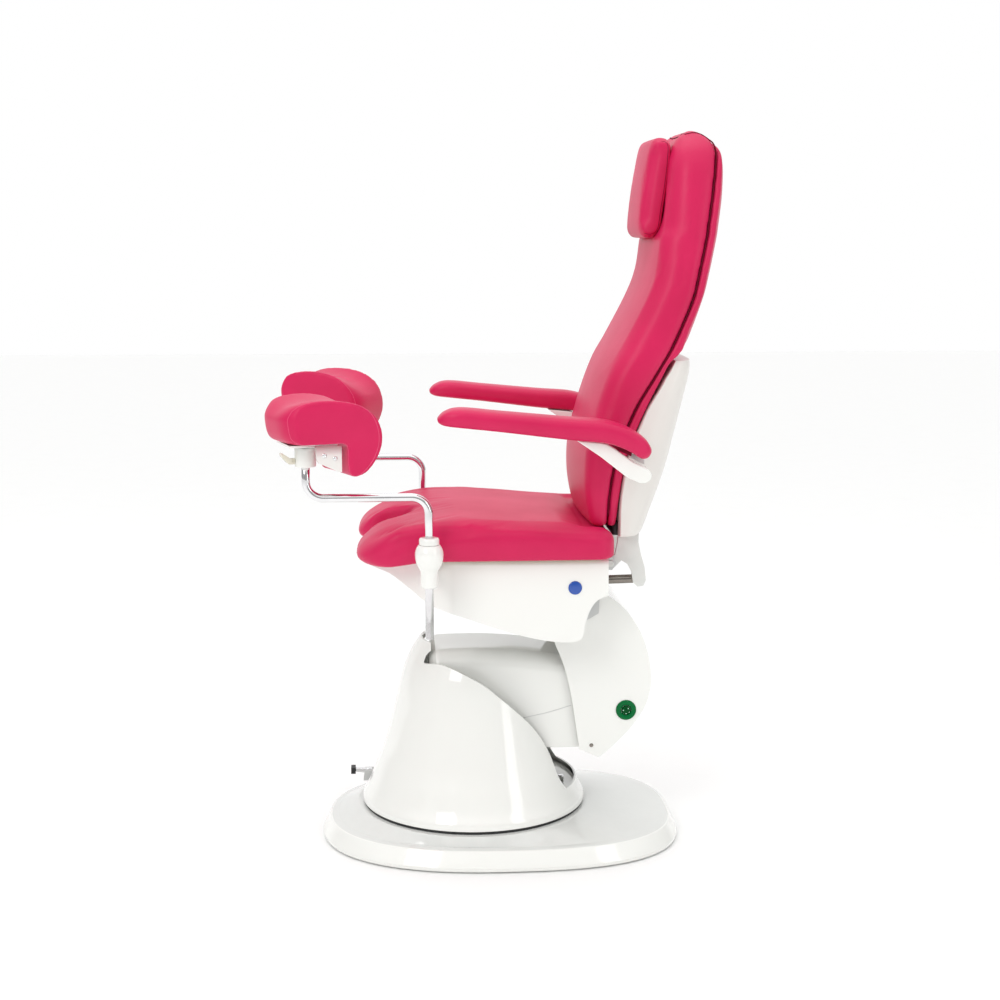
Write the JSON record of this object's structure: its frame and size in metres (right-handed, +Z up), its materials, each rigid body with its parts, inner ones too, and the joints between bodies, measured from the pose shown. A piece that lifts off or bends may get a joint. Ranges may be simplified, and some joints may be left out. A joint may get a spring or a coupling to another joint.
{
  "type": "urological examination chair",
  "caption": "Swivelling examination chair with a swing-arm lift, tilting U-front seat, reclining back, headrest, swing-up armrests and knee crutches on bent rods.",
  "frame": {"origin": "on the swivel axis at the floor, on the underside of the base plate", "axes": "+Z up, the chair faces -X, +Y is the sitter's right"},
  "size_m": [0.9059, 0.7362, 1.452],
  "materials": {
    "steel_painted": "grey powder coat",
    "steel_plate": "pale grey coat",
    "white_gloss": "glossy white moulding",
    "white_base": "glossy white moulding",
    "white_back": "satin warm white moulding",
    "bracket_grey": "light grey powder coat",
    "chrome": "polished chrome",
    "black_rubber": "matt black",
    "pink_vinyl": "pink upholstery vinyl over foam",
    "green_plastic": "green translucent-looking plastic",
    "blue_plastic": "plain blue cap",
    "ply_board": "plywood"
  },
  "bodies": {
    "base": {"base_plate": "steel_plate", "base_cover": "white_base", "swivel_bearing": "steel_painted", "seal_ring": "black_rubber", "pedal_bracket": "steel_painted"},
    "brake_pedal": {"pedal_lever": "chrome", "pedal_tip": "black_rubber"},
    "pedestal": {"pedestal_shell": "white_gloss", "turntable": "steel_painted", "pedestal_frame": "steel_painted", "lift_shaft": "chrome", "lift_cylinder": "steel_painted", "notch_bolt": "chrome"},
    "lift_arm": {"arm_cover": "white_gloss", "arm_frame": "steel_painted"},
    "tie_rod": {"tie_rod": "bracket_grey"},
    "lift_rod": {"lift_rod": "chrome"},
    "seat_carrier": {"carrier_shell": "white_gloss", "carrier_frame": "steel_painted", "carrier_shaft": "chrome", "button_bezel": "green_plastic", "cheek_screw": "black_rubber"},
    "stop_button": {"stop_button": "green_plastic"},
    "seat": {"seat_frame": "steel_painted", "seat_board": "ply_board", "seat_shell": "white_gloss", "seat_cushion": "pink_vinyl", "leg_clamp_left": "white_gloss", "leg_clamp_right": "white_gloss", "seat_badge": "blue_plastic"},
    "back_tube": {"back_tube": "steel_painted"},
    "backrest": {"back_frame": "bracket_grey", "back_cushion": "pink_vinyl", "back_panel": "pink_vinyl", "back_shell": "white_back", "head_rail": "chrome", "armrest_pin_left": "chrome", "armrest_pin_right": "chrome"},
    "back_rod": {"back_rod": "chrome"},
    "headrest": {"headrest_cushion": "pink_vinyl", "headrest_plate": "steel_painted"},
    "armrest_left": {"armrest_pad_left": "pink_vinyl", "armrest_tongue_left": "white_gloss"},
    "leg_swivel_left": {"leg_collar_left": "white_gloss"},
    "leg_rod_left": {"leg_rod_left": "chrome"},
    "crutch_holder_left": {"crutch_holder_left": "white_gloss"},
    "wing_lever_left": {"wing_lever_left": "chrome"},
    "crutch_pad_left": {"crutch_bracket_left": "bracket_grey", "crutch_pad_left": "pink_vinyl"},
    "armrest_right": {"armrest_pad_right": "pink_vinyl", "armrest_tongue_right": "white_gloss"},
    "leg_swivel_right": {"leg_collar_right": "white_gloss"},
    "leg_rod_right": {"leg_rod_right": "chrome"},
    "crutch_holder_right": {"crutch_holder_right": "white_gloss"},
    "wing_lever_right": {"wing_lever_right": "chrome"},
    "crutch_pad_right": {"crutch_bracket_right": "bracket_grey", "crutch_pad_right": "pink_vinyl"}
  },
  "joints": [
    {"name": "base_swivel", "type": "hinge", "parent": "base", "child": "pedestal", "pos_m": [0, 0, 0.072], "axis": [0, 0, 1], "range_deg": [-165, 165]},
    {"name": "brake_pedal", "type": "hinge", "parent": "base", "child": "brake_pedal", "pos_m": [-0.222, 0.13, 0.083], "axis": [0, -1, 0], "range_deg": [0, 8], "stiffness_Nm_per_rad": 4},
    {"name": "lift", "type": "hinge", "parent": "pedestal", "child": "lift_arm", "pos_m": [-0.07, 0, 0.376], "axis": [0, -1, 0], "range_deg": [0, 48]},
    {"name": "tie_link", "type": "hinge", "parent": "pedestal", "child": "tie_rod", "pos_m": [-0.07, 0, 0.342], "axis": [0, -1, 0], "range_deg": [0, 48]},
    {"name": "lift_rod_pivot", "type": "hinge", "parent": "lift_arm", "child": "lift_rod", "pos_m": [0.058, 0, 0.31], "axis": [0, 1, 0], "range_deg": [0, 48]},
    {"name": "carrier_level", "type": "hinge", "parent": "lift_arm", "child": "seat_carrier", "pos_m": [0.24, 0, 0.24], "axis": [0, 1, 0], "range_deg": [0, 48]},
    {"name": "stop_button", "type": "slide", "parent": "seat_carrier", "child": "stop_button", "axis": [0, 1, 0], "range_m": [0, 0.003], "stiffness_N_per_m": 700},
    {"name": "seat_tilt", "type": "hinge", "parent": "seat_carrier", "child": "seat", "pos_m": [0.225, 0, 0.5], "axis": [0, 1, 0], "range_deg": [0, 12]},
    {"name": "back_recline", "type": "hinge", "parent": "seat", "child": "backrest", "pos_m": [0.265, 0, 0.6], "axis": [0, 1, 0], "range_deg": [0, 60]},
    {"name": "back_tube_pivot", "type": "hinge", "parent": "seat", "child": "back_tube", "pos_m": [0.02, 0, 0.553], "axis": [0, 1, 0], "range_deg": [0, 8]},
    {"name": "back_rod_pivot", "type": "hinge", "parent": "backrest", "child": "back_rod", "pos_m": [0.326, 0, 0.563], "axis": [0, -1, 0], "range_deg": [0, 53]},
    {"name": "headrest_height", "type": "slide", "parent": "backrest", "child": "headrest", "axis": [0.055, 0, 0.9985], "range_m": [0, 0.06]},
    {"name": "armrest_swing_left", "type": "hinge", "parent": "backrest", "child": "armrest_left", "pos_m": [0.31, -0.29, 0.797], "axis": [0, 1, 0], "range_deg": [0, 95]},
    {"name": "leg_swing_left", "type": "hinge", "parent": "seat", "child": "leg_swivel_left", "pos_m": [-0.098, -0.286, 0.666], "axis": [0, 0, 1], "range_deg": [-10, 70]},
    {"name": "leg_height_left", "type": "slide", "parent": "leg_swivel_left", "child": "leg_rod_left", "axis": [0, 0, 1], "range_m": [-0.04, 0.1]},
    {"name": "crutch_turn_left", "type": "hinge", "parent": "leg_rod_left", "child": "crutch_holder_left", "pos_m": [-0.329, -0.286, 0.837], "axis": [0, 0, 1], "range_deg": [-45, 45]},
    {"name": "wing_lever_left", "type": "hinge", "parent": "crutch_holder_left", "child": "wing_lever_left", "pos_m": [-0.3486, -0.29199, 0.829], "axis": [-0.9563, -0.2924, 0], "range_deg": [-120, 120]},
    {"name": "crutch_tilt_left", "type": "hinge", "parent": "crutch_holder_left", "child": "crutch_pad_left", "pos_m": [-0.329, -0.286, 0.853], "axis": [-0.2924, 0.9563, 0], "range_deg": [-15, 15]},
    {"name": "armrest_swing_right", "type": "hinge", "parent": "backrest", "child": "armrest_right", "pos_m": [0.31, 0.29, 0.797], "axis": [0, 1, 0], "range_deg": [0, 95]},
    {"name": "leg_swing_right", "type": "hinge", "parent": "seat", "child": "leg_swivel_right", "pos_m": [-0.098, 0.286, 0.666], "axis": [0, 0, 1], "range_deg": [-70, 10]},
    {"name": "leg_height_right", "type": "slide", "parent": "leg_swivel_right", "child": "leg_rod_right", "axis": [0, 0, 1], "range_m": [-0.04, 0.1]},
    {"name": "crutch_turn_right", "type": "hinge", "parent": "leg_rod_right", "child": "crutch_holder_right", "pos_m": [-0.329, 0.286, 0.837], "axis": [0, 0, 1], "range_deg": [-45, 45]},
    {"name": "wing_lever_right", "type": "hinge", "parent": "crutch_holder_right", "child": "wing_lever_right", "pos_m": [-0.3486, 0.29199, 0.829], "axis": [-0.9563, 0.2924, 0], "range_deg": [-120, 120]},
    {"name": "crutch_tilt_right", "type": "hinge", "parent": "crutch_holder_right", "child": "crutch_pad_right", "pos_m": [-0.329, 0.286, 0.853], "axis": [0.2924, 0.9563, 0], "range_deg": [-15, 15]}
  ],
  "couplings": [
    {"joint": "tie_link", "follows": "lift", "ratio": 1},
    {"joint": "lift_rod_pivot", "follows": "lift", "ratio": 1},
    {"joint": "carrier_level", "follows": "lift", "ratio": 1},
    {"joint": "back_tube_pivot", "follows": "back_recline", "ratio": 0.1285},
    {"joint": "back_rod_pivot", "follows": "back_recline", "ratio": 0.8715}
  ]
}
